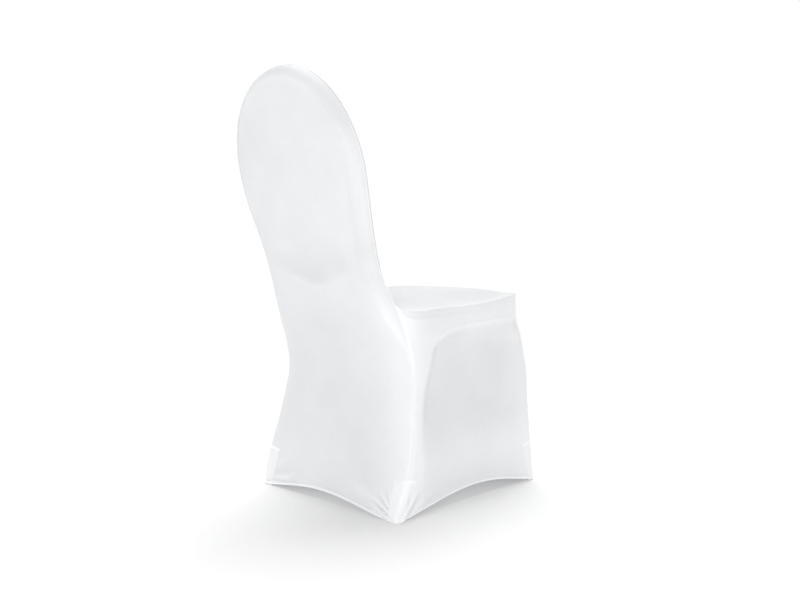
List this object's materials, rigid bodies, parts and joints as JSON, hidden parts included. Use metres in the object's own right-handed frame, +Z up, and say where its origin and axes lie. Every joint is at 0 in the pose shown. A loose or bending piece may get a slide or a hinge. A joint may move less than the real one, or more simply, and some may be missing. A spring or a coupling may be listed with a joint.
{
  "type": "chair cover",
  "caption": "White stretch cover for a banquet chair with a rounded back: a hollow fitted skin of sewn panels with a doubled pocket for each foot.",
  "frame": {"origin": "on the floor, under the middle of the cover's outer box", "axes": "+Z up; the covered chair faces -Y and its back leans towards +Y; +X is the left of a person who sits on it"},
  "size_m": [0.4598, 0.6073, 0.925],
  "materials": {
    "stretch_cloth": "white stretch knit, soft satin",
    "pocket_cloth": "doubled white stretch knit, soft satin"
  },
  "bodies": {
    "root": {"back_panel": "stretch_cloth", "front_panel": "stretch_cloth", "side_panel_left": "stretch_cloth", "side_panel_right": "stretch_cloth", "foot_pocket_rear_left": "pocket_cloth", "foot_pocket_rear_right": "pocket_cloth", "foot_pocket_front_left": "pocket_cloth", "foot_pocket_front_right": "pocket_cloth"}
  },
  "joints": []
}
